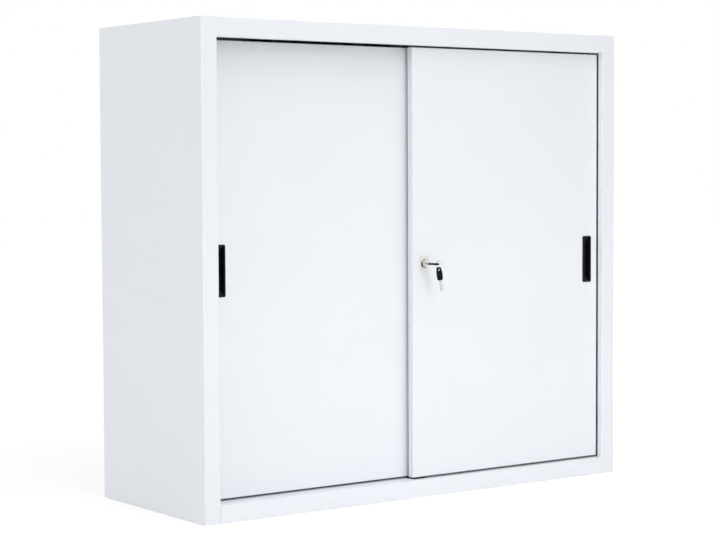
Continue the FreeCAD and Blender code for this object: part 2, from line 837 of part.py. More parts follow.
def lock_bolt():
    rear = barrel_span()[1]
    tip = rear_door_y - bolt_end_gap
    return rod(lock_x, lock_height, (rear, tip), bolt_radius)


def lock_plug():
    # Turning core with a level keyway
    face, rear = barrel_span()
    plug_y = (face - plug_reach, rear - plug_end_wall - key_clearance)
    plug = rod(lock_x, lock_height, plug_y, plug_radius)
    half_w = blade_width / 2 + keyway_clearance
    half_t = blade_thickness / 2 + keyway_clearance
    keyway_end = face - bow_gap + blade_length + key_clearance
    keyway = block((lock_x - half_w, lock_x + half_w), (plug_y[0], keyway_end),
                   (lock_height - half_t, lock_height + half_t))
    return plug.cut(keyway)


def strike_bush():
    # Lined hole in the rear door that takes the bolt
    near = rear_door_y - bush_flange_thickness
    end = rear_door_y + bush_depth
    flange = flat_sided_bar(lock_x, lock_height, (near, rear_door_y), bush_flange, bush_sides)
    tube = flat_sided_bar(lock_x, lock_height, (rear_door_y, end), bush_flats, bush_sides)
    bore = 2 * (bolt_radius + bush_bore_clearance)
    return joined(flange, tube).cut(flat_sided_bar(lock_x, lock_height, (near, end), bore, bush_sides))


def key_blade():
    # Flat blade along +Y from the bow's edge at the origin, cut alike on both sides
    half = blade_width / 2
    right = [(half, -blade_root)]
    for n, depth in enumerate(blade_cuts):
        middle = blade_length - blade_tip - (len(blade_cuts) - n) * blade_cut_pitch
        right.append((half, middle - depth))
        right.append((half - depth, middle))
        right.append((half, middle + depth))
    right.append((half, blade_length - blade_tip))
    right.append((half - blade_tip, blade_length))
    outline = right + [(-x, y) for x, y in reversed(right)]
    blade = prism(outline, plan, Vector(0, 0, blade_thickness))
    blade.translate(Vector(0, 0, -blade_thickness / 2))
    return blade


def key_bow():
    # Moulded head along -Y, widest nearer the blade, with a ring hole near its narrow end
    near, widest, far = bow_blade_end / 2, bow_width / 2, bow_ring_end / 2
    edges = [
        Part.makeLine(plan(-near, 0), plan(near, 0)),
        Part.Arc(plan(near, 0), plan(widest, -bow_widest), plan(far, -bow_length)).toShape(),
        Part.makeLine(plan(far, -bow_length), plan(-far, -bow_length)),
        Part.Arc(plan(-far, -bow_length), plan(-widest, -bow_widest), plan(-near, 0)).toShape(),
    ]
    bow = Part.Face(Part.Wire(edges)).extrude(Vector(0, 0, bow_thickness))
    bow = bow.makeFillet(bow_corner, edges_at(bow, z=bow_thickness / 2))
    hole = Part.makeCylinder(bow_hole_radius, bow_thickness, plan(0, bow_hole_inset - bow_length))
    bow = bow.cut(hole)
    bow.translate(Vector(0, 0, -bow_thickness / 2))
    return bow.cut(key_blade())


def inserted(shape):
    # A key's piece, moved into the lock with its bow level
    shape.translate(Vector(lock_x, barrel_span()[0] - bow_gap, lock_height))
    return shape


def key_hole_point():
    return Vector(lock_x, barrel_span()[0] - bow_gap - bow_length + bow_hole_inset, lock_height)


def ring_centre():
    return key_hole_point() + Vector(0, -ring_out, -ring_drop)


def key_ring():
    # Ring of short straight runs of square wire, upright and seen edge-on from the front
    rings = []
    for radius in (ring_radius + ring_wire / 2, ring_radius - ring_wire / 2):
        turn = 2 * math.pi / ring_runs
        points = [(radius * math.cos(turn * n), radius * math.sin(turn * n)) for n in range(ring_runs)]
        rings.append(prism(points, section, Vector(ring_wire, 0, 0)))
    ring = rings[0].cut(rings[1])
    ring.translate(ring_centre() - Vector(ring_wire / 2, 0, 0))
    return ring


def hanging(shape):
    # A key's piece, hung by its hole on the ring's lowest point with its blade down
    shape.translate(Vector(0, bow_length - bow_hole_inset, 0))
    shape.rotate(Vector(0, 0, 0), Vector(1, 0, 0), -90)
    slack = bow_hole_radius - ring_wire * math.sqrt(0.5) - key_clearance
    shape.translate(Vector(0, 0, -slack))
    shape.rotate(Vector(0, 0, 0), Vector(0, 1, 0), -spare_key_lean)
    shape.translate(ring_centre() - Vector(0, 0, ring_radius))
    return shape


def pieces():
    left_strips = {"front": shelf_strip(front_strip_y), "rear": shelf_strip(rear_strip_y)}
    made = {
        "left_side_panel": side_panel(),
        "right_side_panel": mirrored(side_panel()),
        "top_panel": top_panel(),
        "base_panel": base_panel(),
        "back_panel": back_panel(),
        "floor_rib": floor_rib(),
        "front_door_rail": door_rail(front_door_y),
        "rear_door_rail": door_rail(rear_door_y),
        "track_stops": track_stops(),
        "floor_guide": floor_guide(),
        "lower_shelf": shelf(lower_shelf_slot_number),
        "upper_shelf": shelf(upper_shelf_slot_number),
        "shelf_clips": shelf_clips(),
        "front_door_panel": front_door_panel(),
        "front_door_liner": front_door_liner(),
        "front_door_pull": flush_pull(front_pull_x, front_pull_height, front_door_y),
        "rear_door_panel": rear_door_panel(),
        "rear_door_liner": door_liner(rear_door_x, rear_door_y),
        "rear_door_pull": flush_pull(rear_pull_x, rear_pull_height, rear_door_y),
        "strike_bush": strike_bush(),
        "lock_plate": lock_plate(),
        "lock_body": lock_body(),
        "lock_nut": lock_nut(),
        "lock_barrel": lock_barrel(),
        "lock_bolt": lock_bolt(),
        "lock_plug": lock_plug(),
        "key_blade": inserted(key_blade()),
        "key_bow": inserted(key_bow()),
        "key_ring": key_ring(),
        "spare_key_blade": hanging(key_blade()),
        "spare_key_bow": hanging(key_bow()),
    }
    for place, strip in left_strips.items():
        made["left_" + place + "_strip"] = strip
        made["right_" + place + "_strip"] = mirrored(strip)
    for name, door_x, door_y in (
        ("front_door", front_door_x, front_door_y),
        ("rear_door", rear_door_x, rear_door_y),
    ):
        made[name + "_stiffener"] = door_stiffener(door_x, door_y)
        made[name + "_channel"] = bottom_channel(door_x, door_y)
        made[name + "_hangers"] = hangers(door_x, door_y)
        made[name + "_hanger_nuts"] = hanger_nuts(door_x, door_y)
        made[name + "_axles"] = axles(door_x, door_y)
        for side, x in zip(("left", "right"), wheel_places(door_x)):
            made[name + "_" + side + "_wheel"] = wheel(x, door_y)
    return made


os.makedirs("parts", exist_ok=True)
for name, shape in pieces().items():
    shape.exportStep("parts/" + name + ".step")
print("door travel", round(door_travel, 3), "axle height", round(axle_z, 3), "lock", round(lock_x, 3))
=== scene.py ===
import json
import math

import bmesh
import bpy
from mathutils import Matrix, Vector


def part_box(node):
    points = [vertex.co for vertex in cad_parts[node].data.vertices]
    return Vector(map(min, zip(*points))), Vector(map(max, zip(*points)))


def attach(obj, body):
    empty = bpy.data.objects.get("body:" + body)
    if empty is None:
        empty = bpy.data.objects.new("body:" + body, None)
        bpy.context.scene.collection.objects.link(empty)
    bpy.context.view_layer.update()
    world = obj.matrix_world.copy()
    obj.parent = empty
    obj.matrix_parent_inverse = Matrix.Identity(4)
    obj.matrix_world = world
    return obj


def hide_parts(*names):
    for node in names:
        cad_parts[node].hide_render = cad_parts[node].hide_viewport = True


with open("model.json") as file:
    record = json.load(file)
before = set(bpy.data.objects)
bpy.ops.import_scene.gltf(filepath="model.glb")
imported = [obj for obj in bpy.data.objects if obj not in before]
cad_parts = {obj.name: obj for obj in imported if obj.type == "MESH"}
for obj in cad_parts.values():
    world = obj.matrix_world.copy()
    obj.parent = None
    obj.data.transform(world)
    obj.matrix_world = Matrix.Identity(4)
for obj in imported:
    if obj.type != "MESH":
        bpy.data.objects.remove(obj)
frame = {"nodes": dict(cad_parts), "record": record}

scene = bpy.context.scene
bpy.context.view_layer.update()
mm = 0.001
close = 0.01 * mm       # places nearer than this count as level
welded = 0.002 * mm     # corners nearer than this become one


# Short ways to write shader nodes

def addNode(tree, kind, inputs=None, **settings):
    # New shader node; an input may be a value or another node's output
    node = tree.nodes.new("ShaderNode" + kind)
    for key, value in settings.items():
        setattr(node, key, value)
    for socket, value in (inputs or {}).items():
        if isinstance(value, bpy.types.NodeSocket):
            tree.links.new(value, node.inputs[socket])
        else:
            node.inputs[socket].default_value = value
    return node


def newFinish(name):
    material = bpy.data.materials.new(name)
    material.use_nodes = True
    tree = material.node_tree
    shader = tree.nodes["Principled BSDF"]
    place = addNode(tree, "TexCoord").outputs["Object"]
    return material, tree, shader, place


def connectLook(tree, shader, colour, roughness, normal):
    for socket, source in (("Base Color", colour), ("Roughness", roughness), ("Normal", normal)):
        tree.links.new(source, shader.inputs[socket])


def noiseAt(tree, place, perMetre, detail=2.0, stretch=(1, 1, 1)):
    # Noise with its features counted per metre
    spot = addNode(tree, "Mapping", {"Vector": place, "Scale": stretch}).outputs["Vector"]
    noise = addNode(tree, "TexNoise", {"Vector": spot, "Scale": perMetre, "Detail": detail})
    return noise.outputs["Fac"]


def spread(tree, value, low, high, fromLow=0.3, fromHigh=0.7):
    # Noise stays mostly between 0.3 and 0.7, so that span is what gets spread
    return addNode(tree, "MapRange", {
        "Value": value, "From Min": fromLow, "From Max": fromHigh, "To Min": low, "To Max": high,
    }).outputs["Result"]


def multiplied(tree, first, second):
    return addNode(tree, "Math", {0: first, 1: second}, operation="MULTIPLY").outputs[0]


def blendColours(tree, share, first, second):
    mix = addNode(tree, "Mix", {"Factor": share}, data_type="RGBA")
    for socket, colour in ((6, first), (7, second)):
        if isinstance(colour, bpy.types.NodeSocket):
            tree.links.new(colour, mix.inputs[socket])
        else:
            mix.inputs[socket].default_value = (*colour, 1)
    return mix.outputs[2]


def shaded(colour, factor):
    return [min(1, channel * factor) for channel in colour]


def bumpFrom(tree, height, depth, under=None):
    inputs = {"Height": height, "Distance": depth, "Strength": 1.0}
    if under:
        inputs["Normal"] = under
    return addNode(tree, "Bump", inputs).outputs["Normal"]


def edgeShare(tree, reach, most):
    # The most along sharp edges, 0 on open surfaces
    rounded = addNode(tree, "Bevel", {"Radius": reach}, samples=6).outputs["Normal"]
    flat = addNode(tree, "NewGeometry").outputs["Normal"]
    facing = addNode(tree, "VectorMath", {0: rounded, 1: flat}, operation="DOT_PRODUCT").outputs["Value"]
    return spread(tree, facing, most, 0.0, 0.75, 0.99)


def coverWith(material, share, colour):
    # Lays one more colour over the colour that the finish has
    tree = material.node_tree
    base = tree.nodes["Principled BSDF"].inputs["Base Color"]
    tree.links.new(blendColours(tree, share, base.links[0].from_socket, colour), base)
    return material


# Finishes, one for each material slot of the record and one for the polished parts of the lock

paintLook = {
    "carcass": (0.815, 0.840, 0.880),
    "doors": (0.820, 0.842, 0.880),
    "roughness": (0.34, 0.42),
    "gloss": 0.45,
    "cloudPerMetre": 5.0,
    "cloudTone": 0.97,
    "speckPerMetre": 900.0,
    "speckTone": 1.04,
    "edgeReach": 1.2 * mm,
    "edgeTone": 1.06,
    "patchPerMetre": 14.0,      # patches that differ in roughness
    "peelPerMetre": 420,        # orange peel, a little over 2 mm from hump to hump
    "peelDepth": 0.035 * mm,
    "wavePerMetre": 3.2,        # slow waves of thin sheet
    "waveDepth": 1.2 * mm,
}


def makePaint(name, colour):
    # Powder coat in faint clouds, with a fine speckle and a painted highlight that makes sharp edges and
    # folds paler
    material, tree, shader, place = newFinish(name)
    clouds = spread(tree, noiseAt(tree, place, paintLook["cloudPerMetre"], detail=3.0), 0.0, 0.6)
    specks = spread(tree, noiseAt(tree, place, paintLook["speckPerMetre"], detail=1.0), 0.0, 0.25)
    # painted highlight: sharp edges and folds are painted paler, as if they catch the light
    edges = edgeShare(tree, paintLook["edgeReach"], most=0.35)
    toned = blendColours(tree, clouds, colour, shaded(colour, paintLook["cloudTone"]))
    speckled = blendColours(tree, specks, toned, shaded(colour, paintLook["speckTone"]))
    edgeHighlit = blendColours(tree, edges, speckled, shaded(colour, paintLook["edgeTone"]))
    patches = noiseAt(tree, place, paintLook["patchPerMetre"], detail=4.0)
    wavy = noiseAt(tree, place, paintLook["wavePerMetre"], detail=1.0)
    humps = noiseAt(tree, place, paintLook["peelPerMetre"], detail=1.5)
    peel = bumpFrom(tree, humps, paintLook["peelDepth"], bumpFrom(tree, wavy, paintLook["waveDepth"]))
    shader.inputs["Specular IOR Level"].default_value = paintLook["gloss"]
    connectLook(tree, shader, edgeHighlit, spread(tree, patches, *paintLook["roughness"]), peel)
    return material


zincLook = {
    "cool": (0.60, 0.63, 0.67),
    "warm": (0.70, 0.67, 0.60),
    "dull": (0.44, 0.45, 0.46),
    "roughness": (0.28, 0.46),
    "cloudPerMetre": 25.0,
    "streakPerMetre": 60.0,
    "streakStretch": (1, 6, 14),
    "streakDepth": 0.03 * mm,
}


def makeZinc(name):
    # Bright zinc, drawn in streaks over cool and warm clouds
    material, tree, shader, place = newFinish(name)
    clouds = noiseAt(tree, place, zincLook["cloudPerMetre"], detail=3.0)
    streaks = noiseAt(tree, place, zincLook["streakPerMetre"], 4.0, zincLook["streakStretch"])
    tinted = blendColours(tree, spread(tree, clouds, 0.0, 0.7), zincLook["cool"], zincLook["warm"])
    streaked = blendColours(tree, spread(tree, streaks, 0.0, 0.4), tinted, zincLook["dull"])
    relief = bumpFrom(tree, streaks, zincLook["streakDepth"])
    shader.inputs["Metallic"].default_value = 1.0
    connectLook(tree, shader, streaked, spread(tree, streaks, *zincLook["roughness"]), relief)
    return material


def makeMottled(name, first, second, cloudPerMetre, roughness, grainPerMetre, grainDepth, detail=4.0):
    # Two close colours in clouds, under a fine grain
    material, tree, shader, place = newFinish(name)
    clouds = noiseAt(tree, place, cloudPerMetre, detail)
    colour = blendColours(tree, spread(tree, clouds, 0.0, 1.0), first, second)
    grain = bumpFrom(tree, noiseAt(tree, place, grainPerMetre), grainDepth)
    connectLook(tree, shader, colour, spread(tree, clouds, *roughness), grain)
    return material


def makeNylon(name, fresh, aged):
    # Moulded nylon, aged in patches
    return makeMottled(name, fresh, aged, cloudPerMetre=90.0, roughness=(0.38, 0.52), grainPerMetre=700.0,
                       grainDepth=0.02 * mm, detail=3.0)


def makeRubber(name):
    # Black rubber with a grey bloom
    return makeMottled(name, (0.028, 0.028, 0.028), (0.052, 0.051, 0.050), cloudPerMetre=70.0,
                       roughness=(0.66, 0.85), grainPerMetre=900.0, grainDepth=0.04 * mm)


# Near-black hangers, which paint the shade seen through the top gap
hangerShadeLook = {
    "gloss": 0.3,
    "edgeReach": 0.6 * mm,
    "edgeColour": (0.09, 0.09, 0.09),
}


def makeHangerShade(name):
    # Painted shade: the hangers seen through the top gap are coloured near black, matt, oily and uneven,
    # greyer along the edges
    material = makeMottled(name, (0.010, 0.010, 0.011), (0.026, 0.025, 0.024), cloudPerMetre=55.0,
                           roughness=(0.42, 0.62), grainPerMetre=1400.0, grainDepth=0.015 * mm)
    tree = material.node_tree
    tree.nodes["Principled BSDF"].inputs["Specular IOR Level"].default_value = hangerShadeLook["gloss"]
    return coverWith(material, edgeShare(tree, hangerShadeLook["edgeReach"], most=0.5), hangerShadeLook["edgeColour"])


mouldingLook = {
    "cloudPerMetre": 120.0,
    "cloudTone": 1.5,
    "edgeReach": 0.5 * mm,
}


def makeMoulding(name, colour, rubbed, grainPerMetre, grainDepth, roughness, gloss):
    # Black plastic with a spark-eroded grain and edges that are rubbed paler
    material, tree, shader, place = newFinish(name)
    clouds = noiseAt(tree, place, mouldingLook["cloudPerMetre"], detail=3.0)
    light = shaded(colour, mouldingLook["cloudTone"])
    toned = blendColours(tree, spread(tree, clouds, 0.0, 1.0), colour, light)
    cells = addNode(tree, "TexVoronoi", {"Vector": place, "Scale": grainPerMetre}, feature="SMOOTH_F1")
    grain = bumpFrom(tree, cells.outputs["Distance"], grainDepth)
    shader.inputs["Specular IOR Level"].default_value = gloss
    connectLook(tree, shader, toned, spread(tree, clouds, *roughness), grain)
    return coverWith(material, edgeShare(tree, mouldingLook["edgeReach"], most=0.5), rubbed)


# Painted light on the sloping surfaces of the pulls
slopeLightLook = {
    "slope": (0.35, 0.55),      # how steep a surface is where the painted light starts and where it is full
    "colour": (0.022, 0.022, 0.024),
    "patchPerMetre": 260.0,
}


def paintSlopeLight(material):
    # Painted light: surfaces of the moulding that slope up or down are painted paler, in patches
    tree = material.node_tree
    spots = addNode(tree, "TexCoord").outputs
    upward = addNode(tree, "SeparateXYZ", {"Vector": spots["Normal"]}).outputs["Z"]
    steep = addNode(tree, "Math", {0: upward}, operation="ABSOLUTE").outputs[0]
    patchy = spread(tree, noiseAt(tree, spots["Object"], slopeLightLook["patchPerMetre"], 3.0), 0.7, 1.0)
    share = multiplied(tree, spread(tree, steep, 0.0, 1.0, *slopeLightLook["slope"]), patchy)
    return coverWith(material, share, slopeLightLook["colour"])


# Painted shade in the gap round the lock's barrel: its colour and where it lies
gapShadeLook = {
    "colour": (0.040, 0.034, 0.028),
    "ring": (8.8 * mm, 11.4 * mm),      # from the barrel's wall to the collar's edge
    "soft": 0.3 * mm,                   # the width over which it thins out
    "proud": 1.4 * mm,                  # how far it comes out past the collar
    "above": (1.2 * mm, 3.4 * mm),      # thins out between these heights over the lock's middle
    "below": (-7.6 * mm, -5.6 * mm),    # and between these under it
}


def addGapShade(material):
    # Painted shade that lies low in the gap round the push-in barrel
    tree = material.node_tree
    low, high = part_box("lock_body")
    middle = ((low.x + high.x) / 2, low.y, (low.z + high.z) / 2)
    place = addNode(tree, "TexCoord").outputs["Object"]
    away = addNode(tree, "VectorMath", {0: place, 1: middle}, operation="SUBTRACT").outputs["Vector"]
    flat = addNode(tree, "VectorMath", {0: away, 1: (1, 0, 1)}, operation="MULTIPLY").outputs["Vector"]
    distance = addNode(tree, "VectorMath", {0: flat}, operation="LENGTH").outputs["Value"]
    parts = addNode(tree, "SeparateXYZ", {"Vector": away}).outputs
    inner, outer = gapShadeLook["ring"]
    soft, end = gapShadeLook["soft"], -gapShadeLook["proud"]
    shares = [
        spread(tree, distance, 0.0, 1.0, inner - soft / 4, inner),
        spread(tree, distance, 1.0, 0.0, outer - soft, outer),
        spread(tree, parts["Y"], 0.0, 1.0, end - soft, end),
        spread(tree, parts["Z"], 1.0, 0.0, *gapShadeLook["above"]),
        spread(tree, parts["Z"], 0.0, 1.0, *gapShadeLook["below"]),
    ]
    share = shares[0]
    for other in shares[1:]:
        share = multiplied(tree, share, other)
    return coverWith(material, share, gapShadeLook["colour"])


plateLook = {
    "hazePerMetre": 160.0,
    "hazeTone": 0.86,
    "edgeReach": 0.4 * mm,
    "edgeTone": 1.12,
    "markDepth": 0.008 * mm,
}


def makePlate(name, colour, roughness, marksPerMetre, stretch):
    # Plated metal with fine tool marks and handling haze
    material, tree, shader, place = newFinish(name)
    marks = noiseAt(tree, place, marksPerMetre, 3.0, stretch)
    haze = noiseAt(tree, place, plateLook["hazePerMetre"], detail=4.0)
    edges = edgeShare(tree, plateLook["edgeReach"], most=0.6)
    toned = blendColours(tree, spread(tree, haze, 0.0, 0.6), colour, shaded(colour, plateLook["hazeTone"]))
    bright = blendColours(tree, edges, toned, shaded(colour, plateLook["edgeTone"]))
    relief = bumpFrom(tree, marks, plateLook["markDepth"])
    shader.inputs["Metallic"].default_value = 1.0
    connectLook(tree, shader, bright, spread(tree, haze, *roughness), relief)
    return material


pullPlastic = makeMoulding("pullPlastic", (0.003, 0.003, 0.004), (0.030, 0.031, 0.034), grainPerMetre=2600,
                           grainDepth=0.03 * mm, roughness=(0.36, 0.50), gloss=0.20)
bowPlastic = makeMoulding("bowPlastic", (0.002, 0.002, 0.003), (0.012, 0.012, 0.013), grainPerMetre=3400,
                          grainDepth=0.02 * mm, roughness=(0.34, 0.46), gloss=0.10)
satinNickel = makePlate("satinNickel", (0.80, 0.78, 0.765), roughness=(0.26, 0.38), marksPerMetre=900,
                        stretch=(1, 1, 8))
polishedNickel = makePlate("polishedNickel", (0.73, 0.715, 0.70), roughness=(0.16, 0.26), marksPerMetre=900,
                           stretch=(1, 1, 8))
keySteel = makePlate("keySteel", (0.70, 0.70, 0.715), roughness=(0.20, 0.34), marksPerMetre=1200,
                     stretch=(9, 1, 1))
finishes = {
    "carcass_paint": makePaint("carcassPaint", paintLook["carcass"]),
    "door_paint": makePaint("doorPaint", paintLook["doors"]),
    "zinc": makeZinc("brightZinc"),
    # the hangers' near-black coat is painted shade in the top gap
    "hanger_black": makeHangerShade("hangerShadeBlack"),
    "nylon": makeNylon("naturalNylon", (0.80, 0.79, 0.74), (0.70, 0.69, 0.63)),
    "guide_black": makeNylon("blackNylon", (0.020, 0.020, 0.021), (0.034, 0.033, 0.032)),
    "rubber": makeRubber("blackRubber"),
    "pull_plastic": paintSlopeLight(pullPlastic),
    # both lock finishes carry the painted shade in the barrel's gap
    "lock_metal": addGapShade(satinNickel),
    "polished": addGapShade(polishedNickel),
    "key_metal": keySteel,
    "bow_plastic": bowPlastic,
}

for row in frame["record"]["subparts"]:
    node = frame["nodes"][row["node"]]
    node.data.materials.clear()
    node.data.materials.append(finishes[row["material_slot"]])
print("finishes:", len(finishes))


# Short ways to shape a mesh and hand it over

def makePiece(bm, name, body, slotName, replaced=(), sharpAbove=32, finish=None):
    bmesh.ops.remove_doubles(bm, verts=bm.verts, dist=welded)
    bmesh.ops.recalc_face_normals(bm, faces=bm.faces)
    mesh = bpy.data.meshes.new(name)
    bm.to_mesh(mesh)
    bm.free()
    mesh.shade_smooth()
    mesh.set_sharp_from_angle(angle=math.radians(sharpAbove))
    mesh.materials.append(finishes[finish or slotName])
    piece = bpy.data.objects.new(name, mesh)
    scene.collection.objects.link(piece)
    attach(piece, body)
    if replaced:
        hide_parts(*replaced)


def facesIn(geom):
    return [item for item in geom if isinstance(item, bmesh.types.BMFace)]


def extruded(bm, faces, move, keepStart=False):
    # Draws faces out, leaving the start open unless it is to stay, and returns the end's faces
    drawn = bmesh.ops.extrude_face_region(bm, geom=faces)["geom"]
    verts = [item for item in drawn if isinstance(item, bmesh.types.BMVert)]
    bmesh.ops.translate(bm, verts=verts, vec=move)
    if not keepStart:
        bmesh.ops.delete(bm, geom=faces, context="FACES_ONLY")
    bm.normal_update()
    return facesIn(drawn)


def piercedSlab(bm, normal, move):
    # Fills the space between an outline and the hole in it, and draws it out to a closed slab
    filled = bmesh.ops.triangle_fill(bm, use_beauty=True, edges=bm.edges[:], normal=normal)["geom"]
    faces = facesIn(filled)
    bmesh.ops.recalc_face_normals(bm, faces=faces)
    extruded(bm, faces, move, keepStart=True)
    bmesh.ops.recalc_face_normals(bm, faces=bm.faces)


def cutAcross(bm, faces, point, normal):
    # Splits faces where a plane crosses them
    edges = dict.fromkeys(edge for face in faces for edge in face.edges)
    verts = dict.fromkeys(vert for face in faces for vert in face.verts)
    bmesh.ops.bisect_plane(bm, geom=[*faces, *edges, *verts], dist=0.0001 * mm, plane_co=point,
                           plane_no=normal)
    bm.normal_update()


def sharpEdges(bm, above, keep=None):
    limit = math.radians(above)
    sharp = [edge for edge in bm.edges if edge.is_manifold and edge.calc_face_angle(0) > limit]
    return [edge for edge in sharp if keep is None or keep(edge)]


def softenEdges(bm, edges, width, segments=3):
    bmesh.ops.bevel(bm, geom=edges, offset=width, affect="EDGES", segments=segments, profile=0.5,
                    material=-1, clamp_overlap=True)


def roundCorners(bm, verts, radius, segments):
    bmesh.ops.bevel(bm, geom=verts, offset=radius, affect="VERTICES", segments=segments, profile=0.5,
                    material=-1)


def facingFront(spot):
    # Turns what is drawn flat so that it stands at a spot, in the plane of the cabinet's front
    return Matrix.Translation(spot) @ Matrix.Rotation(math.pi / 2, 4, "X")


def roundedRectangle(bm, middle, width, height, corner, y, segments=7):
    # Face with rounded corners, looking to the front
    across, up = middle
    corners = [(across + side * width / 2, y, up + end * height / 2)
               for side, end in ((-1, -1), (1, -1), (1, 1), (-1, 1))]
    face = bm.faces.new([bm.verts.new(place) for place in corners])
    roundCorners(bm, list(face.verts), corner, segments)
    bm.normal_update()
    return list(bm.faces)[-1]


def turned(bm, axisPoint, profile, steps=64):
    # Profile of (radius, depth) spun round an axis that runs from front to back
    x, y, z = axisPoint
    verts = [bm.verts.new((x + radius, y + depth, z)) for radius, depth in profile]
    edges = [bm.edges.new(pair) for pair in zip(verts, verts[1:])]
    bmesh.ops.spin(bm, geom=verts + edges, cent=axisPoint, axis=(0, 1, 0), angle=2 * math.pi, steps=steps,
                   use_merge=True)
    bmesh.ops.remove_doubles(bm, verts=bm.verts, dist=welded)


# Dressed joints between the top rail and the jambs, a shade below the sheet's face
seam = {
    "depth": 0.25 * mm,
    "lip": 0.24 * mm,                   # out of the joint, past the jamb's edge
    "reach": 1.7 * mm,                  # over the jamb's rounded fold
    "bend": (0.35 * mm, 0.55 * mm),     # across and deep, where the back of the bead turns
    "thickness": 1.6 * mm,
    "lowGap": 0.6 * mm,
    "highGap": 2.0 * mm,
}


def makeSeams():
    railLow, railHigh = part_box("top_panel")
    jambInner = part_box("right_side_panel")[0].x
    face = railLow.y + seam["depth"]
    back = face + seam["thickness"]
    bendAcross, bendDeep = seam["bend"]
    start, end = railLow.z + seam["lowGap"], railHigh.z - seam["highGap"]
    for name, side in (("leftSeam", -1), ("rightSeam", 1)):
        outline = [
            (jambInner - seam["lip"], face), (jambInner + seam["reach"], face),
            (jambInner + bendAcross, face + bendDeep), (jambInner, back), (jambInner - seam["lip"], back),
        ]
        bm = bmesh.new()
        bead = bm.faces.new([bm.verts.new((side * x, y, start)) for x, y in outline])
        bm.normal_update()
        extruded(bm, [bead], (0, 0, end - start), keepStart=True)
        makePiece(bm, name, "carcass", "carcass_paint")


makeSeams()
print("dressed joints")


# Flush pulls: a rim, a ledge on the left and a sloped finger space
pull = {
    "corner": 4.0 * mm,
    "rimWidth": 3.0 * mm,
    "softEdge": 0.45 * mm,
    "wall": 1.15 * mm,
    "ledgeWidth": 6.0 * mm,
    "ledgeMargin": 0.3 * mm,
    "ledgeDepth": 2.2 * mm,
    "depth": 12.4 * mm,
    "endSlope": 10.0 * mm,
    "sideDraft": 1.5 * mm,
}


def makePull(name, body):
    low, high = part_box(name)
    middle = ((low.x + high.x) / 2, (low.z + high.z) / 2)
    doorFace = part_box(body + "_panel")[0].y
    bm = bmesh.new()
    outline = roundedRectangle(bm, middle, high.x - low.x, high.z - low.z, pull["corner"], doorFace)
    front = extruded(bm, [outline], (0, low.y - doorFace, 0))
    bmesh.ops.inset_region(bm, faces=front, thickness=pull["rimWidth"])
    ledge = extruded(bm, front, (0, pull["ledgeDepth"] - low.y + doorFace, 0))
    bmesh.ops.inset_region(bm, faces=ledge, thickness=pull["ledgeMargin"])
    for vert in ledge[0].verts:      # the finger space starts right of the ledge
        if vert.co.x < middle[0]:
            vert.co.x += pull["ledgeWidth"] - pull["ledgeMargin"]
    deep = extruded(bm, ledge, (0, pull["depth"] - pull["ledgeDepth"], 0))
    deepMiddle = middle[0] + pull["ledgeWidth"] / 2
    for vert in deep[0].verts:
        vert.co.z -= math.copysign(pull["endSlope"], vert.co.z - middle[1])
        vert.co.x -= math.copysign(pull["sideDraft"], vert.co.x - deepMiddle)
    softenEdges(bm, sharpEdges(bm, 35), pull["softEdge"])
    bmesh.ops.solidify(bm, geom=bm.faces[:], thickness=pull["wall"])
    makePiece(bm, name + "Moulding", body, "pull_plastic", [name])


for door in ("front_door", "rear_door"):
    makePull(door + "_pull", door)
print("flush pulls")


# Running gear inside the top rail: grooved wheels on riveted axles, and nuts on the doors' studs
gear = {
    "boreRadius": 3.1 * mm,
    "hubWidth": 1.7 * mm,
    "rimWidth": 2.1 * mm,
    "webRecess": 0.9 * mm,
    "webDraft": 0.3 * mm,
    "grooveDepth": 3.0 * mm,
    "grooveHalf": 1.5 * mm,
    "grooveFlare": 1.0 * mm,
    "rimRound": 0.35 * mm,
    "shaftRadius": 3.0 * mm,
    "collarRadius": 4.5 * mm,
    "headThickness": 0.8 * mm,
    "headRound": 0.3 * mm,
    "dimpleDepth": 0.35 * mm,
    "dimpleRadii": (1.8 * mm, 1.2 * mm),    # at the head's face and at the dimple's floor
    "sideGap": 0.3 * mm,
    "nutFlats": 8.0 * mm,
    "nutBore": 2.5 * mm,
    "nutChamfer": 0.45 * mm,
    "studSpacing": 32.0 * mm,
}
wheelSides = ("_left_wheel", "_right_wheel")


def makeWheel(name):
    # Nylon wheel with a flared groove, a recessed web on each side and a hub
    low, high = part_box(name)
    radius, half = (high.z - low.z) / 2, (high.y - low.y) / 2
    bore, draft, groove = gear["boreRadius"], gear["webDraft"], gear["grooveHalf"]
    hub, rim = bore + gear["hubWidth"], radius - gear["rimWidth"]
    web = gear["webRecess"] - half
    front = [
        (bore, -half), (hub, -half), (hub + draft, web), (rim - draft, web), (rim, -half),
        (radius - gear["rimRound"], -half), (radius, gear["rimRound"] - half),
        (radius, -groove - gear["grooveFlare"]), (radius - gear["grooveDepth"], -groove),
    ]
    profile = front + [(r, -depth) for r, depth in reversed(front)] + front[:1]
    bm = bmesh.new()
    turned(bm, (low + high) / 2, profile)
    makePiece(bm, name + "Turned", name, "nylon", [name])


def makeAxles(door):
    # Two pins, each with a round collar in front of its wheel and a riveted head behind
    low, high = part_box(door + "_axles")
    shaft, collar, soft = gear["shaftRadius"], gear["collarRadius"], gear["headRound"]
    head, dimple = high.y - gear["headThickness"], high.y - gear["dimpleDepth"]
    outer, inner = gear["dimpleRadii"]
    bm = bmesh.new()
    for side in wheelSides:
        wheelLow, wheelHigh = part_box(door + side)
        middle = (wheelLow + wheelHigh) / 2
        middle.y = 0
        shoulder = wheelLow.y - gear["sideGap"]
        turned(bm, middle, [
            (0, low.y), (collar, low.y), (collar, shoulder), (shaft, shoulder), (shaft, head),
            (collar, head), (collar, high.y - soft), (collar - soft, high.y), (outer, high.y),
            (inner, dimple), (0, dimple),
        ], steps=40)
    makePiece(bm, door + "AxlePins", door, "zinc", [door + "_axles"])


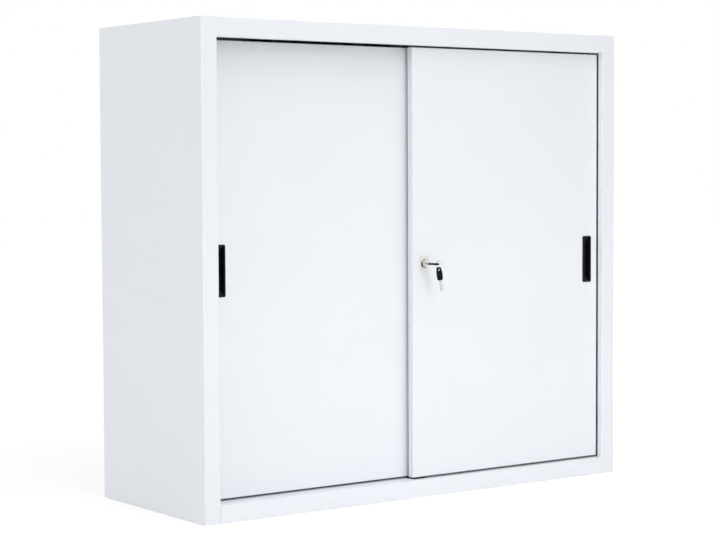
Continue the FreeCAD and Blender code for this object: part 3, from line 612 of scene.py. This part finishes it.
def nutMesh(spot, thickness):
    # Hexagon nut that stands on one corner
    turn = facingFront(spot) @ Matrix.Rotation(math.radians(30), 4, "Z")
    bm = bmesh.new()
    bmesh.ops.create_circle(bm, segments=6, radius=gear["nutFlats"] / math.sqrt(3), matrix=turn)
    bmesh.ops.create_circle(bm, segments=24, radius=gear["nutBore"], matrix=turn)
    piercedSlab(bm, (0, -1, 0), (0, thickness, 0))
    outer = gear["nutBore"] * 1.2
    rims = sharpEdges(bm, 60, lambda edge: all((v.co - spot).xz.length > outer for v in edge.verts)
                      and abs(edge.verts[0].co.y - edge.verts[1].co.y) < close)
    softenEdges(bm, rims, gear["nutChamfer"], segments=2)
    mesh = bpy.data.meshes.new("nut")
    bm.to_mesh(mesh)
    bm.free()
    return mesh


def makeHangerNuts(door):
    low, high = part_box(door + "_hanger_nuts")
    bm = bmesh.new()
    for side in wheelSides:
        wheelLow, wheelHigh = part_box(door + side)
        for share in (-0.5, 0.5):
            across = (wheelLow.x + wheelHigh.x) / 2 + share * gear["studSpacing"]
            nut = nutMesh(Vector((across, low.y, (low.z + high.z) / 2)), high.y - low.y)
            bm.from_mesh(nut)
            bpy.data.meshes.remove(nut)
    makePiece(bm, door + "StudNuts", door, "zinc", [door + "_hanger_nuts"])


for door in ("front_door", "rear_door"):
    for side in wheelSides:
        makeWheel(door + side)
    makeAxles(door)
    makeHangerNuts(door)
print("running gear")


# Push-in lock on the front door
lock = {
    "plateCorner": 8.0 * mm,
    "plateRound": 0.9 * mm,
    "plateLap": 1.4 * mm,           # plate under the collar
    "collarRound": 0.35 * mm,
    "shoulder": 1.7 * mm,           # collar past the sleeve behind it
    "mouthWidth": 2.1 * mm,
    "mouthDepth": 3.0 * mm,
    "boltHole": 4.2 * mm,
    "endWall": 2.0 * mm,
    "fit": 0.05 * mm,
    "barrelRadius": 9.0 * mm,
    "barrelRound": 0.7 * mm,
    "rim": (1.2 * mm, 1.6 * mm),    # of the barrel, at its face and at the recess
    "faceRecess": 0.35 * mm,
    "plugRadius": 5.5 * mm,
    "plugRound": 0.4 * mm,
    "keywaySize": (8.0 * mm, 2.4 * mm),
    "keywayDepth": 9.0 * mm,
}
sleeveLow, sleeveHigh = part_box("lock_body")
lockAxis = Vector(((sleeveLow.x + sleeveHigh.x) / 2, 0, (sleeveLow.z + sleeveHigh.z) / 2))
collarRadius = (sleeveHigh.x - sleeveLow.x) / 2


def makeLockPlate():
    # Cover plate with a hole for the sleeve
    low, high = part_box("lock_plate")
    size = high - low
    bm = bmesh.new()
    outline = roundedRectangle(bm, lockAxis.xz, size.x, size.z, lock["plateCorner"], low.y, segments=10)
    bmesh.ops.delete(bm, geom=[outline], context="FACES_ONLY")
    turn = facingFront((lockAxis.x, low.y, lockAxis.z))
    bmesh.ops.create_circle(bm, segments=48, radius=collarRadius - lock["plateLap"], matrix=turn)
    piercedSlab(bm, (0, -1, 0), (0, size.y, 0))
    rim = sharpEdges(bm, 60, lambda edge: all(abs(v.co.y - low.y) < close for v in edge.verts))
    softenEdges(bm, rim, lock["plateRound"], segments=5)
    makePiece(bm, "lockCoverPlate", "front_door", "lock_metal", ["lock_plate"])


def makeSleeve():
    # Collar with an open ring round the barrel, and the sleeve behind it
    bore, mouth = lock["barrelRadius"] + lock["fit"], sleeveLow.y + lock["mouthDepth"]
    wall, boltHole = collarRadius - lock["shoulder"], lock["boltHole"]
    face, back, floor = sleeveLow.y, sleeveHigh.y, sleeveHigh.y - lock["endWall"]
    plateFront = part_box("lock_plate")[0].y
    bm = bmesh.new()
    turned(bm, (lockAxis.x, 0, lockAxis.z), [
        (bore, floor), (bore, mouth), (bore + lock["mouthWidth"], face), (collarRadius, face),
        (collarRadius, plateFront), (wall, plateFront), (wall, back), (boltHole, back), (boltHole, floor),
        (bore, floor),
    ], steps=72)
    rims = sharpEdges(bm, 35, lambda edge: edge.verts[0].co.y < plateFront - 0.1 * mm)
    softenEdges(bm, rims, lock["collarRound"])
    makePiece(bm, "lockSleeve", "front_door", "lock_metal", ["lock_body"])


def makeBarrel():
    # Push-in barrel with a shallow recess in its face, round the plug
    low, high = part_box("lock_barrel")
    radius, plugBore = lock["barrelRadius"], lock["plugRadius"] + lock["fit"]
    rimFace, rimRecess = lock["rim"]
    recess, floor = low.y + lock["faceRecess"], high.y - lock["endWall"]
    bm = bmesh.new()
    turned(bm, (lockAxis.x, 0, lockAxis.z), [
        (0, floor), (plugBore, floor), (plugBore, recess), (radius - rimRecess, recess),
        (radius - rimFace, low.y), (radius, low.y), (radius, high.y), (0, high.y),
    ], steps=72)
    wall, nearFace = radius - 0.1 * mm, low.y + 1 * mm
    outer = sharpEdges(bm, 60, lambda edge: all((v.co - lockAxis).xz.length > wall for v in edge.verts)
                       and edge.verts[0].co.y < nearFace)
    softenEdges(bm, outer, lock["barrelRound"], segments=5)
    makePiece(bm, "lockBarrel", "lock_barrel", "lock_metal", ["lock_barrel"], finish="polished")


def makePlug():
    # Turning core with a level keyway
    low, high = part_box("lock_plug")
    radius, length = lock["plugRadius"], high.y - low.y
    face = Vector((lockAxis.x, low.y, lockAxis.z))
    turn = facingFront(face + Vector((0, length / 2, 0)))
    bm = bmesh.new()
    bmesh.ops.create_cone(bm, cap_ends=True, segments=48, radius1=radius, radius2=radius, depth=length,
                          matrix=turn)
    bm.normal_update()
    nearFace = low.y + 1 * mm
    rim = sharpEdges(bm, 60, lambda edge: edge.verts[0].co.y < nearFace)
    softenEdges(bm, rim, lock["plugRound"])
    bm.normal_update()
    front = [min(bm.faces, key=lambda f: f.calc_center_median().y)]
    width, height = lock["keywaySize"]
    for reach, axis in ((width, Vector((1, 0, 0))), (height, Vector((0, 0, 1)))):
        for side in (1, -1):
            cutAcross(bm, front, face + axis * side * reach / 2, axis)
            facing = [f for f in bm.faces if f.normal.y < -0.99]
            front = [f for f in facing if abs(f.calc_center_median().y - low.y) < close]
    slot = min(front, key=lambda f: (f.calc_center_median() - lockAxis).xz.length)
    extruded(bm, [slot], (0, lock["keywayDepth"], 0))
    makePiece(bm, "lockPlug", "lock_plug", "lock_metal", ["lock_plug"], finish="polished")


makeLockPlate()
makeSleeve()
makeBarrel()
makePlug()
print("lock")


# Two keys and the split ring that joins them
key = {
    "cuts": (1.1 * mm, 0.6 * mm, 1.3 * mm, 0.8 * mm),
    "cutPitch": 4.2 * mm,
    "cutFloor": 0.588 * mm,                            # half of a cut's flat floor
    "firstCut": 9.5 * mm,
    "tip": 2.0 * mm,
    "tipSlope": 2.8 * mm,                              # across the tip on the side of the cuts
    "bladeLength": 32.0 * mm,
    "grooveWidth": 1.3 * mm,
    "grooveDepth": 0.45 * mm,
    "grooves": ((1, -0.9 * mm), (-1, 0.5 * mm)),       # side of the blade and place across it
    "grooveGaps": (1.5 * mm, 2.5 * mm),                # from the bow and from the blade's end
    "bowEnds": (12.0 * mm, 9.8 * mm),                  # widths at the blade and at the ring
    "bowWidest": 12.0 * mm,                            # from the blade's end
    "bowSteps": 13,
    "bowCorner": 3.0 * mm,
    "bowSoft": 0.6 * mm,
    "panelMargin": 0.6 * mm,
    "panelSlope": 0.15 * mm,
    "panelDepth": 0.3 * mm,
    "holeRadius": 3.0 * mm,
    "holeInset": 6.0 * mm,
    "hang": 1.45 * mm,                                 # hole's middle below the ring's wire
    "lean": 9.5,                                       # degrees
}
ring = {
    "wireWidth": 1.15 * mm,
    "wireSoft": 0.12 * mm,
    "turns": 2,
    "pitch": 1.025,         # from turn to turn, in thicknesses of the wire
    "steps": 120,
}
bowLow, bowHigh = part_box("key_bow")
bladeLow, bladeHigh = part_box("key_blade")
ringLow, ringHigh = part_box("key_ring")
bowSize = bowHigh - bowLow
bladeSize = bladeHigh - bladeLow
ringSize = ringHigh - ringLow
ringRadius = (ringSize.z - ringSize.x) / 2        # to the middle of the wire
ringMiddle = (ringLow + ringHigh) / 2


def bladeOutline(half, root, end):
    floor, tip = key["cutFloor"], key["tip"]
    outline = [(-half, root), (half, root)]
    for n, depth in enumerate(key["cuts"]):
        y = key["firstCut"] + n * key["cutPitch"]
        outline += [(half, y - floor - depth), (half - depth, y - floor), (half - depth, y + floor),
                    (half, y + floor + depth)]
    outline += [(half, end - tip), (half - key["tipSlope"], end), (tip - half, end), (-half, end - tip)]
    return outline


def makeBlade(name, body, replaced, place):
    # Blade along +Y from the bow's end at the origin, with cuts in one edge and a groove on each side
    half, thick = bladeSize.x / 2, bladeSize.z
    root = bladeLow.y - bowHigh.y
    end = root + key["bladeLength"]
    bm = bmesh.new()
    face = bm.faces.new([bm.verts.new((x, y, -thick / 2)) for x, y in bladeOutline(half, root, end)])
    bm.normal_update()
    extruded(bm, [face], (0, 0, thick), keepStart=True)
    bmesh.ops.recalc_face_normals(bm, faces=bm.faces)
    grooveStart, grooveEnd = root + key["grooveGaps"][0], end - key["grooveGaps"][1]
    reach = key["grooveWidth"] / 2
    for side, across in key["grooves"]:
        cuts = [((x, 0, 0), (1, 0, 0)) for x in (across - reach, across + reach)]
        cuts += [((0, y, 0), (0, 1, 0)) for y in (grooveStart, grooveEnd)]
        for point, normal in cuts:
            cutAcross(bm, [f for f in bm.faces if f.normal.z * side > 0.9], point, normal)
        groove = []
        for face in bm.faces:
            middle = face.calc_center_median()
            inside = abs(middle.x - across) < reach and grooveStart < middle.y < grooveEnd
            if inside and face.normal.z * side > 0.9:
                groove.append(face)
        extruded(bm, groove, (0, 0, -side * key["grooveDepth"]))
    bmesh.ops.transform(bm, matrix=place, verts=bm.verts)
    makePiece(bm, name, body, "key_metal", replaced, sharpAbove=28)


def bulgeSides(verts, near, far):
    # Each side bulges in two smooth quarters that meet at the bow's widest place
    widest, length, turn = bowSize.x / 2, bowSize.y, key["bowWidest"]
    for vert in verts:
        y = -vert.co.y
        if 0 < y < length:
            span, end = (turn, near) if y < turn else (length - turn, far)
            share = abs(y - turn) / span
            vert.co.x = math.copysign(widest - (widest - end) * share ** 2, vert.co.x)


def makeBow(name, body, replaced, place):
    # Moulded head along -Y: bulging sides, a ring hole, and a sunk panel on each face
    near, far = [width / 2 for width in key["bowEnds"]]
    length, thick = bowSize.y, bowSize.z
    bm = bmesh.new()
    corners = [(-near, 0), (near, 0), (far, -length), (-far, -length)]
    face = bm.faces.new([bm.verts.new((x, y, -thick / 2)) for x, y in corners])
    sides = [edge for edge in face.edges if abs(edge.verts[0].co.y - edge.verts[1].co.y) > length / 2]
    bmesh.ops.subdivide_edges(bm, edges=sides, cuts=key["bowSteps"])
    bmesh.ops.dissolve_faces(bm, faces=bm.faces[:])
    bulgeSides(bm.verts, near, far)
    ends = [v for v in bm.verts if abs(v.co.y) < close or abs(v.co.y + length) < close]
    roundCorners(bm, ends, key["bowCorner"], segments=5)
    bmesh.ops.delete(bm, geom=bm.faces[:], context="FACES_ONLY")
    spot = Matrix.Translation((0, key["holeInset"] - length, -thick / 2))
    bmesh.ops.create_circle(bm, segments=28, radius=key["holeRadius"], matrix=spot)
    piercedSlab(bm, (0, 0, -1), (0, 0, thick))
    softenEdges(bm, sharpEdges(bm, 60), key["bowSoft"], segments=4)
    bm.normal_update()
    for side in (-1, 1):
        panel = [f for f in bm.faces if f.normal.z * side > 0.9999]
        bmesh.ops.inset_region(bm, faces=panel, thickness=key["panelMargin"])
        bmesh.ops.inset_region(bm, faces=panel, thickness=key["panelSlope"])
        sunk = {vert for face in panel for vert in face.verts}
        bmesh.ops.translate(bm, verts=list(sunk), vec=(0, 0, -side * key["panelDepth"]))
    bmesh.ops.transform(bm, matrix=place, verts=bm.verts)
    makePiece(bm, name, body, "bow_plastic", replaced)


def makeRing():
    # Flat wire wound twice, each turn beside the last
    thick = ringSize.x / (1 + ring["turns"] * ring["pitch"])
    start, half = ringLow.x - ringMiddle.x, ring["wireWidth"] / 2
    corners = [(0, -half), (thick, -half), (thick, half), (0, half)]
    bm = bmesh.new()
    bm.faces.new([bm.verts.new((start + x, 0, z - ringRadius)) for x, z in corners])
    roundCorners(bm, bm.verts[:], ring["wireSoft"], segments=2)
    step = (ringSize.x - thick) / ring["steps"]
    bmesh.ops.spin(bm, geom=bm.faces[:] + bm.edges[:] + bm.verts[:], cent=(0, 0, 0), axis=(1, 0, 0),
                   angle=ring["turns"] * 2 * math.pi, steps=ring["steps"], dvec=(step, 0, 0))
    bmesh.ops.translate(bm, verts=bm.verts, vec=ringMiddle)
    makePiece(bm, "splitRing", "key_ring", "key_metal", ["key_ring"], sharpAbove=50)


def hungOnRing():
    # Place of the spare key: its hole round the low end of the ring, its blade down, leaning a little
    lowest = Matrix.Translation(ringMiddle - Vector((0, 0, ringRadius)))
    leaning = Matrix.Rotation(math.radians(-key["lean"]), 4, "Y")
    below = Matrix.Translation((0, 0, -key["hang"]))
    upright = Matrix.Rotation(math.radians(-90), 4, "X")
    fromHole = Matrix.Translation((0, bowSize.y - key["holeInset"], 0))
    return lowest @ leaning @ below @ upright @ fromHole


inLock = Matrix.Translation((lockAxis.x, bowHigh.y, lockAxis.z))
makeBlade("keyBlade", "key", ["key_blade"], inLock)
makeBow("keyBow", "key", ["key_bow"], inLock)
makeRing()
makeBlade("spareKeyBlade", "spare_key", ["spare_key_blade"], hungOnRing())
makeBow("spareKeyBow", "spare_key", ["spare_key_bow"], hungOnRing())
print("keys and ring")


# Floor, light and camera
studio = {
    "floorColour": (0.92, 0.92, 0.92),
    "floorHalf": 14,            # metres
    "floorLift": (0.70, 0.96),  # plain white that the camera sees in the floor, near the cabinet and far away
    "liftFrom": (0.9, 4.5),     # metres from the cabinet
    "floorTone": 0.37,          # share that takes light and shadow
    "worldStrength": 0.20,
    "camera": (-2.71371, -3.69335, 0.76979),
    "cameraTurn": (86.8824, 0.2606, -36.0404),
    "lens": 95.667,
    "sensor": 36,
}
softboxes = {
    # where each stands, what it faces, its size, its power, and whether it shows in the paint's gloss
    "leftLight": ((-4.1, -0.8, 1.2), (0, 0, 0.5), (2.2, 2.0), 25, True),
    "leftBackLight": ((-4.0, 1.0, 1.2), (0, 0, 0.5), (2.2, 2.0), 35, True),
    "topLight": ((0, -1.0, 3.0), (0, -0.6, 0.2), (2.6, 1.6), 32, True),
    "topLeftLight": ((-0.9, -3.0, 2.9), (0, -0.2, 0.5), (1.6, 1.2), 23, False),
    "frontLight": ((-0.4, -4.2, 1.7), (0, 0, 0.5), (1.6, 1.4), 22, False),
    "lowLight": ((0.1, -1.5, 0.2), (0.1, -0.2, 0.15), (2.6, 0.3), 6, False),
    "sideLight": ((3.8, 0.8, 1.3), (0, 0, 0.5), (2.2, 2.0), 34, True),
    "backLight": ((1.4, 3.9, 2.4), (0, 0, 0.5), (2.6, 2.2), 75, True),
}


def plainViewShare(tree):
    # 1 for rays that look straight at, through or by reflection, a surface
    path = addNode(tree, "LightPath").outputs
    share = path["Is Camera Ray"]
    for kind in ("Is Glossy Ray", "Is Transmission Ray"):
        share = addNode(tree, "Math", {0: share, 1: path[kind]}, operation="MAXIMUM").outputs[0]
    return share


def makeFloor():
    material = bpy.data.materials.new("studioFloor")
    material.use_nodes = True
    tree = material.node_tree
    tree.nodes.remove(tree.nodes["Principled BSDF"])
    matt = addNode(tree, "BsdfDiffuse", {"Color": (*studio["floorColour"], 1)}).outputs["BSDF"]
    tone = addNode(tree, "BsdfDiffuse", {"Color": (*[studio["floorTone"]] * 3, 1)}).outputs["BSDF"]
    place = addNode(tree, "TexCoord").outputs["Object"]
    away = addNode(tree, "VectorMath", {0: place}, operation="LENGTH").outputs["Value"]
    lift = spread(tree, away, *studio["floorLift"], *studio["liftFrom"])
    white = addNode(tree, "Emission", {"Color": (1, 1, 1, 1), "Strength": lift}).outputs["Emission"]
    seen = addNode(tree, "AddShader", {0: tone, 1: white}).outputs["Shader"]
    mixed = addNode(tree, "MixShader", {0: plainViewShare(tree), 1: matt, 2: seen}).outputs["Shader"]
    tree.links.new(mixed, tree.nodes["Material Output"].inputs["Surface"])
    bm = bmesh.new()
    bmesh.ops.create_grid(bm, x_segments=1, y_segments=1, size=studio["floorHalf"])
    mesh = bpy.data.meshes.new("studioFloor")
    bm.to_mesh(mesh)
    bm.free()
    mesh.materials.append(material)
    floor = bpy.data.objects.new("studioFloor", mesh)
    scene.collection.objects.link(floor)


def makeWorld():
    world = bpy.data.worlds.new("studioWorld")
    scene.world = world
    world.use_nodes = True
    tree = world.node_tree
    sky = tree.nodes["Background"]
    sky.inputs["Color"].default_value = (1, 1, 1, 1)
    sky.inputs["Strength"].default_value = studio["worldStrength"]
    plain = addNode(tree, "Background", {"Color": (1, 1, 1, 1), "Strength": 1.0})
    mixed = addNode(tree, "MixShader", {0: plainViewShare(tree), 1: sky.outputs[0], 2: plain.outputs[0]})
    tree.links.new(mixed.outputs[0], tree.nodes["World Output"].inputs["Surface"])


def addSoftbox(name, place, aim, size, power, mirrored):
    light = bpy.data.lights.new(name, "AREA")
    light.shape = "RECTANGLE"
    light.size, light.size_y = size
    light.energy = power
    lamp = bpy.data.objects.new(name, light)
    lamp.location = place
    lamp.rotation_euler = (Vector(aim) - Vector(place)).to_track_quat("-Z", "Y").to_euler()
    lamp.visible_camera = False
    lamp.visible_glossy = mirrored
    scene.collection.objects.link(lamp)


def addCamera():
    camera = bpy.data.cameras.new("camera")
    camera.lens = studio["lens"]
    camera.sensor_width = studio["sensor"]
    viewer = bpy.data.objects.new("camera", camera)
    viewer.location = studio["camera"]
    viewer.rotation_euler = [math.radians(angle) for angle in studio["cameraTurn"]]
    scene.collection.objects.link(viewer)
    scene.camera = viewer


makeFloor()
makeWorld()
for name, settings in softboxes.items():
    addSoftbox(name, *settings)
addCamera()
scene.view_settings.view_transform = "Standard"
print("floor, light and camera")
